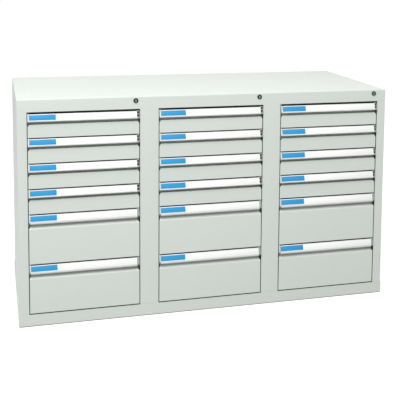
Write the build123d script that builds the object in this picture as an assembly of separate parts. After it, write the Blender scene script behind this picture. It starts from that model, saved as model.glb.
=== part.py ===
"""Industrial drawer cabinet: three columns of drawers under one top, with a locking bar for each column.

The front looks along -Y and +Z is up. The origin is at the bottom centre of the whole cabinet.
"""
import os
from math import cos, radians, sin

from build123d import *

# Body
column_names = ("left", "middle", "right")
module_width = 510.0
post_width = 38.5
body_depth = 700.0
top_rail_height = 50.0
base_height = 47.0
base_overhang = 3.0
carcass_sheet = 1.2
carcass_bend = 2.5
return_lip = 15.0

# Drawer grid, from the top row down
small_pitch = 100.0
large_pitch = 200.0
small_rows = 4
large_rows = 2
top_gap = 5.0
row_gap = 2.4
bottom_gap = 3.0
side_gap = 1.8

# Drawer front and tray
front_depth = 19.0
front_sheet = 1.2
recess_height = 42.0
shoulder_back_height = 38.0
shoulder_height = 57.0
shoulder_radius = 8.0
corner_cut_width = 6.0
corner_cut_height = 10.0
tray_sheet = 1.2
tray_length = 625.0
tray_floor_gap = 8.0
tray_top_gap = 14.0
tray_rim = 7.0

# Grip strip, measured outwards from the front's face and down from the front's top
grip_sheet = 1.6
grip_top_reach = 1.0
grip_projection = 11.0
grip_height = 31.0
grip_leg = 14.0
grip_hook_depth = 6.5
grip_hook_height = 7.0
grip_nose_radius = 2.5
left_cap_width = 5.0
right_cap_width = 10.0
cap_setback = 3.0
label_length_share = 0.24
label_height_share = 0.7
label_sheet = 0.4

# Runners: a channel rail on the wall, and a smaller channel on the drawer that slides in it
runner_space = 14.0
rail_sheet = 1.5
rail_lip = 10.0
rail_inner_height = 12.0
rail_level = 22.0
rail_front_setback = 32.0
rail_back_gap = 20.0
slide_gap = 0.4

# Lock: housing in the top rail, plug, cam with its pin, and a toothed bar behind the post
lock_inset = 15.5
lock_drop = 15.5
collar_radius = 10.0
collar_proud = 3.0
barrel_radius = 8.5
barrel_length = 22.0
nut_radius = 12.0
nut_thickness = 4.0
plug_radius = 6.0
plug_recess = 0.6
plug_play = 0.06
hole_play = 0.2
key_slot_width = 2.0
key_slot_height = 8.0
key_slot_depth = 6.0
cam_thickness = 2.0
cam_width = 8.0
cam_reach = 10.0
cam_swing = 90.0
pin_radius = 2.0
pin_play = 0.4
pin_overrun = 0.8
bar_sheet = 3.0
bar_setback = 26.0
bar_play = 0.3
spine_inset = 3.0
spine_width = 10.0
spine_end = 12.0
tooth_reach = 12.0
tooth_height = 10.0
tooth_level = 33.0
slot_margin = 1.0
catch_reach = 10.0
catch_height = 8.0
catch_length = 4.0
catch_gap = 1.5
guide_level = 78.0
guide_height = 12.0
guide_wall = 3.0

# Back panel, base frame and feet
back_inset = 2.0
flange_width = 16.0
foot_height = 3.0
foot_radius = 19.0
stud_radius = 5.0
stud_length = 30.0
foot_inset = 45.0
foot_columns = 3
base_sheet = 2.0
base_flange = 60.0

overrun = 5.0


def grip_points():
    """The corners of the grip strip's middle line, from the leg on the tray to the hook behind the nose.

    They are measured from the front's face, outwards as minus, and from the front's top, downwards as minus.
    """
    half = grip_sheet / 2
    hook = grip_hook_depth - grip_projection
    return [
        (front_depth - half, -grip_leg),
        (front_depth - half, -half),
        (-grip_top_reach, -half),
        (half - grip_projection, half - grip_height),
        (hook, half - grip_height),
        (hook, grip_hook_height - grip_height),
    ]


def grip_section():
    """The section of the grip strip: a band of even thickness along its middle line, with a rounded nose."""
    band = offset(Polyline(*grip_points()), grip_sheet / 2, kind=Kind.INTERSECTION, side=Side.BOTH)
    section = make_face(band.edges())
    nose = section.vertices().group_by(Axis.Y)[0].sort_by(Axis.X)[0]
    return fillet(nose, grip_nose_radius)


# Planes and levels worked out from the sizes above
column_count = len(column_names)
body_width = column_count * module_width
opening_width = module_width - 2 * post_width
grip_reach = -grip_section().bounding_box().min.X
overall_depth = grip_reach + body_depth
front_y = grip_reach - overall_depth / 2
back_y = front_y + body_depth
body_bottom = foot_height + base_height
row_pitches = [small_pitch] * small_rows + [large_pitch] * large_rows
opening_top = body_bottom + sum(row_pitches)
body_top = opening_top + top_rail_height
row_floors = [opening_top - sum(row_pitches[: row + 1]) for row in range(len(row_pitches))]
tray_width = opening_width - 2 * runner_space
tray_front_y = front_y + front_depth
bar_front_y = front_y + bar_setback
cam_front_y = front_y + barrel_length
pin_rise = cam_reach * sin(radians(cam_swing / 2))
pin_offset = cam_reach * cos(radians(cam_swing / 2))
bar_travel = 2 * pin_rise


def block(low, high):
    """A rectangular block from its lowest corner to its highest."""
    size = Vector(*high) - Vector(*low)
    return Pos(*low) * Box(size.X, size.Y, size.Z, align=(Align.MIN, Align.MIN, Align.MIN))


def rod(centre, radius, y_start, y_end):
    """A round rod along Y, centred on the point (x, z)."""
    length = y_end - y_start
    return Pos(centre[0], y_start + length / 2, centre[1]) * Rot(X=90) * Cylinder(radius, length)


def folded(path, height):
    """A folded sheet that stands on the floor panel: the middle line of its plan, with rounded bends."""
    line = FilletPolyline(*path, radius=carcass_bend - carcass_sheet / 2)
    plane = Plane.XY.offset(body_bottom + carcass_sheet)
    return extrude(plane * trace(line, carcass_sheet), height)


def channel(low, high, sheet, open_side):
    """A straight channel along Y with the given outer corners, open towards +X (1) or -X (-1)."""
    inner_low = (low[0] + sheet, low[1] - overrun, low[2] + sheet)
    inner_high = (high[0] + overrun, high[1] + overrun, high[2] - sheet)
    if open_side < 0:
        inner_low = (low[0] - overrun, inner_low[1], inner_low[2])
        inner_high = (high[0] - sheet, inner_high[1], inner_high[2])
    return block(low, high) - block(inner_low, inner_high)


def across(x_start):
    """The plane of a section that is drawn out along X: its own axes are Y and Z."""
    return Plane(origin=(x_start, 0, 0), x_dir=(0, 1, 0), z_dir=(1, 0, 0))


def opening_left(column):
    """The left edge of a column's opening."""
    return -body_width / 2 + column * module_width + post_width


def opening_right(column):
    """The right edge of a column's opening."""
    return opening_left(column) + opening_width


def lock_centre(column):
    """The place of a column's lock as (x, z)."""
    return opening_right(column) - lock_inset, body_top - lock_drop


def front_span(row):
    """The lowest and highest level of a drawer front."""
    last = len(row_pitches) - 1
    below = bottom_gap if row == last else row_gap / 2
    above = top_gap if row == 0 else row_gap / 2
    return row_floors[row] + below, row_floors[row] + row_pitches[row] - above


# Carcass


def tooth_slots(column):
    """The slots in the wall right of a column that the locking bar's teeth reach through."""
    wall = opening_right(column)
    slots = Part()
    for floor in row_floors:
        bottom = floor + tooth_level
        slots += block(
            (wall - overrun, bar_front_y - slot_margin, bottom - slot_margin),
            (
                wall + carcass_sheet + carcass_bend,
                bar_front_y + bar_sheet + slot_margin,
                bottom + tooth_height + bar_travel + slot_margin,
            ),
        )
    return slots


def make_end_panel(side):
    """An end panel folded from one sheet: rear flange, outer skin, front post and inner wall."""
    half = carcass_sheet / 2
    outer = body_width / 2 - half
    inner = body_width / 2 - post_width + half
    rear = back_y - back_inset - carcass_sheet - half
    path = [
        (side * (outer - flange_width), rear),
        (side * outer, rear),
        (side * outer, front_y + half),
        (side * inner, front_y + half),
        (side * inner, rear),
    ]
    panel = folded(path, opening_top - body_bottom - carcass_sheet)
    if side > 0:
        panel -= tooth_slots(column_count - 1)
    return panel


def make_partition(column):
    """A partition folded from one sheet: two walls joined by the middle post, with rear flanges."""
    half = carcass_sheet / 2
    left = opening_right(column) + half
    right = opening_left(column + 1) - half
    rear = back_y - back_inset - carcass_sheet - half
    path = [
        (left + flange_width, rear),
        (left, rear),
        (left, front_y + half),
        (right, front_y + half),
        (right, rear),
        (right - flange_width, rear),
    ]
    panel = folded(path, body_top - body_bottom - 2 * carcass_sheet)
    front_notch = block(
        (left - overrun, front_y - overrun, opening_top),
        (right + overrun, bar_front_y + bar_sheet + slot_margin, body_top),
    )
    rear_notch = block(
        (left - overrun, back_y - return_lip - slot_margin, opening_top),
        (right + overrun, back_y + overrun, body_top),
    )
    return panel - front_notch - rear_notch - tooth_slots(column)


def make_top_cover():
    """The top cover: a pan over the body, with a front rail, lips turned inwards and three lock holes."""
    outer = block((-body_width / 2, front_y, opening_top), (body_width / 2, back_y, body_top))
    edges = outer.edges().filter_by(Axis.Z) + outer.edges().group_by(Axis.Z)[-1]
    outer = fillet(edges, carcass_bend)
    cavity = block(
        (-body_width / 2 + carcass_sheet, front_y + carcass_sheet, opening_top + carcass_sheet),
        (body_width / 2 - carcass_sheet, back_y - carcass_sheet, body_top - carcass_sheet),
    )
    mouth = block(
        (-body_width / 2 + return_lip, front_y + return_lip, opening_top - overrun),
        (body_width / 2 - return_lip, back_y - return_lip, opening_top + overrun),
    )
    cover = outer - cavity - mouth
    for column in range(column_count):
        cover -= rod(lock_centre(column), barrel_radius + hole_play, front_y - overrun, front_y + overrun)
    return cover


def make_floor_panel():
    """The floor under the lowest drawers, which the end panels and partitions stand on."""
    half = body_width / 2
    return block((-half, front_y, body_bottom), (half, back_y, body_bottom + carcass_sheet))


def make_back_panel():
    """The back panel, set in a little between the top cover and the floor panel."""
    half = body_width / 2
    outside = back_y - back_inset
    return block((-half, outside - carcass_sheet, body_bottom + carcass_sheet), (half, outside, opening_top))


def foot_places():
    """The (x, y) of each foot: one row along the front and one along the back."""
    half = body_width / 2 - foot_inset
    step = 2 * half / (foot_columns - 1)
    rows = (front_y + foot_inset, back_y - foot_inset)
    return [(-half + step * index, y) for index in range(foot_columns) for y in rows]


def make_base_frame():
    """The base frame: a channel all round, open in the middle, with a hole for each foot's stud."""
    half = body_width / 2 + base_overhang
    low = foot_height
    frame = block((-half, front_y, low), (half, back_y, body_bottom))
    frame = fillet(frame.edges().filter_by(Axis.Z), carcass_bend)
    frame -= block(
        (-half + base_sheet, front_y + base_sheet, low + base_sheet),
        (half - base_sheet, back_y - base_sheet, body_bottom - base_sheet),
    )
    frame -= block(
        (-half + base_flange, front_y + base_flange, low - overrun),
        (half - base_flange, back_y - base_flange, body_bottom + overrun),
    )
    for x, y in foot_places():
        frame -= Pos(x, y, low) * Cylinder(stud_radius + hole_play, 2 * overrun)
    return frame


def make_feet():
    """Levelling feet: a glide disc under the base frame and a stud up through its lower flange."""
    outline = Polyline(
        (0, 0),
        (foot_radius, 0),
        (foot_radius, foot_height),
        (stud_radius, foot_height),
        (stud_radius, foot_height + stud_length),
        (0, foot_height + stud_length),
        close=True,
    )
    foot = revolve(Plane.XZ * make_face(outline), Axis.Z)
    return [Pos(x, y, 0) * foot for x, y in foot_places()]


# Runners


def rail_levels():
    """The middle level of each row's runners."""
    return [floor + rail_level for floor in row_floors]


def make_rail(wall, inward, level):
    """A wall rail: a channel open towards the drawer, on the wall at x and reaching inward (1 or -1)."""
    lip = wall + inward * rail_lip
    rise = rail_inner_height / 2 + rail_sheet
    start = front_y + rail_front_setback
    low = (min(wall, lip), start, level - rise)
    high = (max(wall, lip), back_y - rail_back_gap, level + rise)
    return channel(low, high, rail_sheet, inward)


def make_column_rails(column):
    """All the rails of a column: one on each wall for every drawer."""
    rails = []
    for level in rail_levels():
        rails.append(make_rail(opening_left(column), 1, level))
        rails.append(make_rail(opening_right(column), -1, level))
    return rails


def make_drawer_runner(column, side, level):
    """The channel on a drawer's side that slides in the wall rail, with a running gap all round."""
    middle = (opening_left(column) + opening_right(column)) / 2
    near = middle + side * tray_width / 2
    far = middle + side * (opening_width / 2 - rail_sheet - slide_gap)
    rise = rail_inner_height / 2 - slide_gap
    start = front_y + rail_front_setback
    low = (min(near, far), start, level - rise)
    high = (max(near, far), tray_front_y + tray_length, level + rise)
    return channel(low, high, rail_sheet, -side)


# Drawers


def front_section(row, bottom, top):
    """The side section of a drawer front's hollow part: a square step under the grip of a low drawer,
    and a sloped shoulder with a soft edge under the grip of a deep one."""
    deep = row >= small_rows
    face_height = shoulder_height if deep else recess_height
    back_height = shoulder_back_height if deep else recess_height
    points = [
        (tray_front_y, bottom),
        (front_y, bottom),
        (front_y, top - face_height),
        (tray_front_y, top - back_height),
    ]
    section = make_face(Polyline(*points, close=True))
    if deep:
        edge = section.vertices().group_by(Axis.X)[0].sort_by(Axis.Y)[-1]
        section = fillet(edge, shoulder_radius)
    return section


def corner_cut(edge, inward, top):
    """The prism that opens an upper corner of the front's hollow part, with its lower end cut on a slant."""
    points = [
        (edge, top - corner_cut_height),
        (edge + inward * corner_cut_width, top),
        (edge + inward * corner_cut_width, top + front_depth),
        (edge - inward * overrun, top + front_depth),
        (edge - inward * overrun, top - corner_cut_height),
    ]
    plane = Plane(origin=(0, tray_front_y, 0), x_dir=(1, 0, 0), z_dir=(0, -1, 0))
    return extrude(plane * make_face(Polyline(*points, close=True)), front_depth + overrun)


def make_drawer_front(column, row):
    """A hollow drawer front of folded sheet, open at its upper corners, with the tray's front wall."""
    left = opening_left(column) + side_gap
    right = opening_right(column) - side_gap
    bottom, top = front_span(row)
    section = front_section(row, bottom, top)
    front = extrude(across(left) * section, right - left)
    inner = across(left + front_sheet) * offset(section, -front_sheet)
    front -= extrude(inner, right - left - 2 * front_sheet)
    if row < small_rows:
        cut_top = top - recess_height
    else:
        cut_top = top - (shoulder_back_height + shoulder_height) / 2
    front -= corner_cut(left, 1, cut_top) + corner_cut(right, -1, cut_top)
    back_wall = block((left, tray_front_y, bottom), (right, tray_front_y + tray_sheet, top))
    return front + back_wall


def tray_corners(column, row):
    """The two opposite corners of a tray."""
    middle = (opening_left(column) + opening_right(column)) / 2
    bottom = row_floors[row] + tray_floor_gap
    top = row_floors[row] + row_pitches[row] - tray_top_gap
    low = (middle - tray_width / 2, tray_front_y, bottom)
    return low, (middle + tray_width / 2, tray_front_y + tray_length, top)


def make_tray_floor(column, row):
    """The tray's floor sheet, between its walls."""
    (left, front, bottom), (right, rear, _) = tray_corners(column, row)
    low = (left + tray_sheet, front + tray_sheet, bottom)
    return block(low, (right - tray_sheet, rear - tray_sheet, bottom + tray_sheet))


def make_tray_side(column, row, side):
    """A side wall of the tray, with a rim folded inwards along its top."""
    (left, front, bottom), (right, rear, top) = tray_corners(column, row)
    outer = right if side > 0 else left
    wall_left, wall_right = sorted((outer, outer - side * tray_sheet))
    rim_left, rim_right = sorted((outer, outer - side * tray_rim))
    start = front + tray_sheet
    end = rear - tray_sheet
    wall = block((wall_left, start, bottom), (wall_right, end, top))
    return wall + block((rim_left, start, top - tray_sheet), (rim_right, end, top))


def make_tray_back(column, row):
    """The tray's rear wall, behind the floor and the sides, with a rim that meets theirs."""
    (left, _, bottom), (right, rear, top) = tray_corners(column, row)
    wall = block((left, rear - tray_sheet, bottom), (right, rear, top))
    rim_low = (left + tray_rim, rear - tray_rim, top - tray_sheet)
    return wall + block(rim_low, (right - tray_rim, rear, top))


def make_catch(column, row):
    """The tab on a drawer's right side that a raised tooth of the locking bar stands in front of."""
    side = opening_right(column) - runner_space
    start = bar_front_y + bar_sheet + catch_gap
    bottom = row_floors[row] + tooth_level + bar_travel + (tooth_height - catch_height) / 2
    return block((side, start, bottom), (side + catch_reach, start + catch_length, bottom + catch_height))


def make_drawer(column, row):
    """A drawer: the sheets, runners and lock catch that are welded into one."""
    level = rail_levels()[row]
    return [
        make_drawer_front(column, row),
        make_tray_floor(column, row),
        make_tray_side(column, row, -1),
        make_tray_side(column, row, 1),
        make_tray_back(column, row),
        make_drawer_runner(column, -1, level),
        make_drawer_runner(column, 1, level),
        make_catch(column, row),
    ]


def grip_place(x_start, top):
    """The plane of a grip's section: its origin lies on the front's face at the front's top."""
    return across(x_start) * Pos(front_y, top)


def make_grip_strip(left, right, top):
    """The grip strip: a face that leans out from its top edge to a rounded nose with a hook behind it."""
    return extrude(grip_place(left, top) * grip_section(), right - left)


def make_cap(x_start, x_end, top):
    """A grip end cap: it closes the grip's end down to the nose, set a little behind the strip's face."""
    nose = cap_setback - grip_projection
    points = [
        (front_depth, -grip_height),
        (front_depth, 0),
        (cap_setback - grip_top_reach, 0),
        (nose, cap_setback - grip_height),
        (nose, -grip_height),
    ]
    outline = make_face(Polyline(*points, close=True))
    return extrude(grip_place(x_start, top) * outline, x_end - x_start)


def make_label(left, right, top):
    """The label card on the left part of the strip's face."""
    points = grip_points()
    upper, lower = Vector(*points[2]), Vector(*points[3])
    slope = (lower - upper).normalized()
    outward = Vector(slope.Y, -slope.X)
    reach = (lower - upper).length
    middle = upper + slope * (reach / 2) + outward * (grip_sheet / 2)
    edge = slope * (reach * label_height_share / 2)
    skin = outward * label_sheet
    corners = [middle - edge, middle + edge, middle + edge + skin, middle - edge + skin]
    outline = Polyline(*[(corner.X, corner.Y) for corner in corners], close=True)
    return extrude(grip_place(left, top) * make_face(outline), label_length_share * (right - left))


def make_grip(column, row):
    """The grip of a drawer: strip, two end caps and the label card, as separate pieces."""
    top = front_span(row)[1]
    left = opening_left(column) + side_gap
    right = opening_right(column) - side_gap
    strip_left = left + left_cap_width
    strip_right = right - right_cap_width
    return [
        make_grip_strip(strip_left, strip_right, top),
        make_cap(left, strip_left, top),
        make_cap(strip_right, right, top),
        make_label(strip_left, strip_right, top),
    ]


# Locks


def make_lock_housing(column):
    """A lock housing: a collar on the face of the rail, a barrel through it and a hexagon nut behind it."""
    centre = lock_centre(column)
    rail_back = front_y + carcass_sheet
    collar = rod(centre, collar_radius, front_y - collar_proud, front_y)
    collar = chamfer(collar.edges().sort_by(Axis.Y)[0], collar_proud / 2, collar_proud / 4)
    housing = collar + rod(centre, barrel_radius, front_y, front_y + barrel_length)
    nut = Plane(origin=(centre[0], rail_back, centre[1]), x_dir=(-1, 0, 0), z_dir=(0, 1, 0))
    housing += extrude(nut * RegularPolygon(nut_radius, 6), nut_thickness)
    bore_start = front_y - collar_proud - overrun
    return housing - rod(centre, plug_radius + plug_play, bore_start, cam_front_y + overrun)


def make_lock_plug(column):
    """A lock plug with its key slot, long enough to carry the cam behind the housing."""
    x, z = lock_centre(column)
    face = front_y - collar_proud + plug_recess
    plug = rod((x, z), plug_radius, face, cam_front_y)
    return plug - block(
        (x - key_slot_width / 2, face - overrun, z - key_slot_height / 2),
        (x + key_slot_width / 2, face + key_slot_depth, z + key_slot_height / 2),
    )


def make_lock_cam(column):
    """A cam on the back of the plug: an arm that points down and to the side at rest, with an end pin."""
    x, z = lock_centre(column)
    pin = (x + pin_offset, z - pin_rise)
    back = cam_front_y + cam_thickness
    hub = rod((x, z), plug_radius, cam_front_y, back)
    end = rod(pin, cam_width / 2, cam_front_y, back)
    arm = block((0, 0, -cam_width / 2), (cam_reach, cam_thickness, cam_width / 2))
    arm = Pos(x, cam_front_y, z) * Rot(Y=cam_swing / 2) * arm
    return hub + end + arm + rod(pin, pin_radius, cam_front_y, bar_front_y + bar_sheet + pin_overrun)


def bar_plate(low, high):
    """A flat patch of the locking bar's sheet between two corners (x, z)."""
    return block((low[0], bar_front_y, low[1]), (high[0], bar_front_y + bar_sheet, high[1]))


def make_locking_bar(column):
    """A locking bar cut from flat sheet: a spine, a tooth for each drawer and a slotted head at the cam."""
    wall = opening_right(column)
    spine_left = wall + spine_inset
    spine_right = spine_left + spine_width
    x, z = lock_centre(column)
    pin_x, pin_z = x + pin_offset, z - pin_rise
    slot_rise = pin_radius + pin_play
    head_rise = slot_rise + bar_sheet
    lowest = row_floors[-1] + tooth_level - spine_end
    bar = bar_plate((spine_left, lowest), (spine_right, pin_z + head_rise))
    for floor in row_floors:
        bottom = floor + tooth_level
        bar += bar_plate((wall - tooth_reach, bottom), (spine_right, bottom + tooth_height))
    bar += bar_plate((pin_x - slot_rise - bar_sheet, pin_z - head_rise), (spine_right, pin_z + head_rise))
    pin_room = block(
        (pin_x - slot_rise, bar_front_y - overrun, pin_z - slot_rise),
        (x + cam_reach + slot_rise, bar_front_y + bar_sheet + overrun, pin_z + slot_rise),
    )
    return bar - pin_room


def make_bar_guides():
    """Guides fixed inside the posts, with a slot that each locking bar's spine slides in."""
    guides = []
    guide_floors = (row_floors[0], row_floors[small_rows - 1], row_floors[-1])
    for column in range(column_count):
        wall = opening_right(column) + carcass_sheet
        spine_left = opening_right(column) + spine_inset
        spine_right = spine_left + spine_width
        for floor in guide_floors:
            level = floor + guide_level
            guide = block(
                (wall, bar_front_y - guide_wall, level),
                (spine_right + guide_wall, bar_front_y + bar_sheet + guide_wall, level + guide_height),
            )
            slot = block(
                (spine_left - bar_play, bar_front_y - bar_play, level - overrun),
                (spine_right + bar_play, bar_front_y + bar_sheet + bar_play, level + guide_height + overrun),
            )
            guides.append(guide - slot)
    return guides


def save(name, shapes):
    """Write one node: a single solid, or a group of separate ones."""
    shape = Compound(children=list(shapes)) if isinstance(shapes, list) else shapes
    export_step(shape, os.path.join("parts", name + ".step"))


def main():
    """Build every node and write it."""
    os.makedirs("parts", exist_ok=True)
    save("top_cover", make_top_cover())
    save("left_end_panel", make_end_panel(-1))
    save("right_end_panel", make_end_panel(1))
    save("left_partition", make_partition(0))
    save("right_partition", make_partition(1))
    save("floor_panel", make_floor_panel())
    save("back_panel", make_back_panel())
    save("base_frame", make_base_frame())
    save("levelling_feet", make_feet())
    save("lock_housings", [make_lock_housing(column) for column in range(column_count)])
    save("bar_guides", make_bar_guides())
    for column, name in enumerate(column_names):
        save(name + "_rails", make_column_rails(column))
        save(name + "_lock_plug", make_lock_plug(column))
        save(name + "_lock_cam", make_lock_cam(column))
        save(name + "_locking_bar", make_locking_bar(column))
        for row in range(len(row_pitches)):
            save(f"{name}_drawer_{row + 1}", make_drawer(column, row))
            save(f"{name}_grip_{row + 1}", make_grip(column, row))


main()
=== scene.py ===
"""Looks of the industrial drawer cabinet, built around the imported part.

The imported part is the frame: +X to the right, the drawers open towards -Y, +Z up, in metres. Sizes below
are written in millimetres and turned to metres by MM.
"""

import logging
from collections.abc import Iterable, Sequence
from dataclasses import dataclass
from enum import Enum
from math import radians

import bmesh
import bpy
import numpy as np
from bpy.types import Material, Mesh, Node, NodeSocket, NodeTree, Object, World, bpy_prop_collection
from mathutils import Matrix, Vector


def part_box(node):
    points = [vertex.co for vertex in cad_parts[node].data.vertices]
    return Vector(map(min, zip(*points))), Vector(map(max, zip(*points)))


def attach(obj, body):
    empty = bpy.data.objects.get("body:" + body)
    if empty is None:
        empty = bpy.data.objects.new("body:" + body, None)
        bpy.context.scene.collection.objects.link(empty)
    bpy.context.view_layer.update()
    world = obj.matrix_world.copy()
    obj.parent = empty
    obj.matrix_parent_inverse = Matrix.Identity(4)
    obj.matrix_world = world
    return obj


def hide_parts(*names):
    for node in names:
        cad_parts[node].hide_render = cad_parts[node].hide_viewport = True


MM = 0.001
MERGE = 0.005 * MM
# Edges that turn by more than this many degrees stay sharp: in the scene's own shapes, and in folded sheets.
SHAPE_ANGLE = 40
SHEET_ANGLE = 30
# Faces of a sheet that meet at less than this many degrees are joined.
FLAT_ANGLE = 0.5
LOG = logging.getLogger("cabinet")


class Column(Enum):
    """The three columns of drawers, by the first word of their nodes' names."""

    LEFT = "left"
    MIDDLE = "middle"
    RIGHT = "right"


class Row(Enum):
    """The six drawer rows from the top down, by the number in their nodes' names."""

    FIRST = 1
    SECOND = 2
    THIRD = 3
    FOURTH = 4
    FIFTH = 5
    SIXTH = 6

    @property
    def deep(self) -> bool:
        """Whether the row is of double height, with rounder grips whose caps have no ribs."""
        return self in (Row.FIFTH, Row.SIXTH)


# Shapes


@dataclass(frozen=True)
class Axes:
    """A place to build a shape in: its origin, its section's two axes and the axis it is drawn out along."""

    origin: Sequence[float]
    first: Sequence[float]
    second: Sequence[float]
    out: Sequence[float]

    def place(self, plane_points: np.ndarray, out: np.ndarray) -> np.ndarray:
        """Turn section coordinates into points of the frame.

        Args:
            plane_points: Coordinates along the first and second axis, in an array that ends in 2.
            out: Coordinates along the third axis, in a shape that fits the others.

        Returns:
            The points, in an array that ends in 3.
        """
        basis = np.array([self.first, self.second, self.out], float)
        third = np.broadcast_to(out[..., None], plane_points.shape[:-1] + (1,))
        local = np.concatenate([plane_points, third], axis=-1)
        return np.array(self.origin, float) + local @ basis


@dataclass
class Shell:
    """The points and faces of one closed surface."""

    points: np.ndarray
    faces: list[list[int]]


def round_corners(corners: np.ndarray, radii: np.ndarray, steps: int, closed: bool) -> np.ndarray:
    """Round the corners of a path in the plane.

    Each corner is cut back along both sides by its radius over the tangent of half its angle. The arc's
    centre lies on the bisector, and the arc goes from one cut to the other by equal angles about it.

    Args:
        corners: The path's corners, one per row.
        radii: A radius for each corner; those of an open path's ends aren't used.
        steps: The number of points on each arc.
        closed: Whether the last corner joins the first.

    Returns:
        The rounded path's points.
    """
    before = np.roll(corners, 1, axis=0) - corners
    after = np.roll(corners, -1, axis=0) - corners
    if not closed:
        before[0], after[-1] = -after[0], -before[-1]
    before /= np.linalg.norm(before, axis=1, keepdims=True)
    after /= np.linalg.norm(after, axis=1, keepdims=True)
    inner = slice(None) if closed else slice(1, -1)
    before, after, middle = before[inner], after[inner], corners[inner]
    radius = radii[inner][:, None]
    half = np.arccos(np.clip((before * after).sum(1, keepdims=True), -1, 1)) / 2
    bisector = before + after
    bisector /= np.linalg.norm(bisector, axis=1, keepdims=True)
    centre = middle + bisector * radius / np.sin(half)
    start = middle + before * radius / np.tan(half) - centre
    end = middle + after * radius / np.tan(half) - centre
    turn = np.pi - 2 * half[:, None]
    share = np.linspace(0, 1, steps)[None, :, None]
    arc = (np.sin((1 - share) * turn) * start[:, None] + np.sin(share * turn) * end[:, None]) / np.sin(turn)
    points = (centre[:, None] + arc).reshape(-1, 2)
    return points if closed else np.concatenate([corners[:1], points, corners[-1:]])


def mitres(path: np.ndarray, closed: bool) -> np.ndarray:
    """The direction and length by which each point of a path moves when the path is offset by one.

    It is the sum of the unit normals of the two sides that meet there, over one plus their product.

    Args:
        path: The path's points, one per row.
        closed: Whether the last point joins the first.

    Returns:
        One vector for each point, to the right of the path's direction.
    """
    side = np.roll(path, -1, axis=0) - path
    if not closed:
        side[-1] = side[-2]
    normal = np.stack([side[:, 1], -side[:, 0]], axis=1)
    normal /= np.linalg.norm(normal, axis=1, keepdims=True)
    previous = np.roll(normal, 1, axis=0)
    if not closed:
        previous[0] = normal[0]
    return (normal + previous) / (1 + (normal * previous).sum(1, keepdims=True))


def beside(
    start: np.ndarray, end: np.ndarray, shares: Sequence[float], offsets: Sequence[float]
) -> np.ndarray:
    """Points given by a share of the way along a line and an offset to the right of it.

    Args:
        start: The line's start.
        end: The line's end.
        shares: How far along the line each point lies.
        offsets: How far to the right of the line each point lies.

    Returns:
        The points.
    """
    along = end - start
    right = np.array([along[1], -along[0]]) / np.linalg.norm(along)
    return start + np.outer(shares, along) + np.outer(offsets, right)


def outward(outline: np.ndarray) -> np.ndarray:
    """The mitres of a closed outline, turned so that they point out of it.

    Args:
        outline: The outline's points, in either direction.

    Returns:
        One vector for each point.
    """
    x, y = outline.T
    area = (x * np.roll(y, -1) - y * np.roll(x, -1)).sum()
    return mitres(outline, True) * np.sign(area)


def band(path: np.ndarray, thickness: float) -> np.ndarray:
    """The outline of a sheet of even thickness along a path: down one side of the path and back up the other.

    Args:
        path: The points of the sheet's middle line.
        thickness: The sheet's thickness.

    Returns:
        The closed outline.
    """
    shift = mitres(path, False) * thickness / 2
    return np.concatenate([path + shift, (path - shift)[::-1]])


def carry(section: np.ndarray, points: np.ndarray, normals: np.ndarray, axes: Axes) -> np.ndarray:
    """Carry a section round an outline.

    A section point (a, b) at an outline point goes to: outline point + a times its normal, b along the axis.

    Args:
        section: The section's points (a, b), one per row.
        points: The outline's points, one per row.
        normals: The outline's normals, one per row.
        axes: Where the shape is built.

    Returns:
        A grid of points: one row for each section point.
    """
    plane_points = points[None] + section[:, :1, None] * normals[None]
    return axes.place(plane_points, np.repeat(section[:, 1:], len(points), axis=1))


def skin(grid: np.ndarray, ring: bool, ends: bool) -> Shell:
    """Cover a grid of points, closed round each row, with four-sided faces.

    Args:
        grid: The points, rows by columns by 3.
        ring: Whether the last row joins the first.
        ends: Whether the first and last rows are each closed with one face.

    Returns:
        The shell.
    """
    rows, columns = grid.shape[:2]
    index = np.arange(rows * columns).reshape(rows, columns)
    upper = np.roll(index, -1, axis=0) if ring else index[1:]
    lower = index if ring else index[:-1]
    quads = np.stack([lower, np.roll(lower, -1, axis=1), np.roll(upper, -1, axis=1), upper], axis=-1)
    faces = quads.reshape(-1, 4).tolist()
    if ends:
        faces += [index[0, ::-1].tolist(), index[-1].tolist()]
    return Shell(grid.reshape(-1, 3), faces)


def bar(outline: np.ndarray, axes: Axes, start: float, end: float, edge: float, steps: int = 3) -> Shell:
    """A bar of one outline whose end edges are rounded.

    Near each end the outline shrinks by edge times (1 - sin t) while the bar's length grows by
    edge times (1 - cos t), for t from none to a right angle.

    Args:
        outline: The closed outline.
        axes: Where the bar is built.
        start: The bar's start along the third axis.
        end: The bar's end along the third axis.
        edge: The radius of the end edges.
        steps: The number of rings on each rounded end.

    Returns:
        The shell.
    """
    turn = np.linspace(0, np.pi / 2, steps)
    inset = -edge * (1 - np.sin(turn))
    reach = edge * (1 - np.cos(turn))
    section = np.stack([np.append(inset, inset[::-1]), np.append(start + reach, (end - reach)[::-1])], axis=1)
    return skin(carry(section, outline, outward(outline), axes), False, True)


def turned(profile: np.ndarray, axes: Axes, segments: int, ring: bool = False) -> Shell:
    """A turned shape: a profile of (radius, height) carried round a circle.

    Args:
        profile: The profile's points (radius, height), one per row.
        axes: Where the shape is built; it is turned about the third axis.
        segments: The number of steps round the circle.
        ring: Whether the profile is closed, as for a washer.

    Returns:
        The shell. Where the profile starts and ends on the axis, its poles are merged by make_piece.
    """
    angle = np.linspace(0, 2 * np.pi, segments, endpoint=False)
    circle = np.stack([np.cos(angle), np.sin(angle)], axis=1)
    return skin(carry(profile, np.zeros_like(circle), circle, axes), ring, False)


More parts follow.
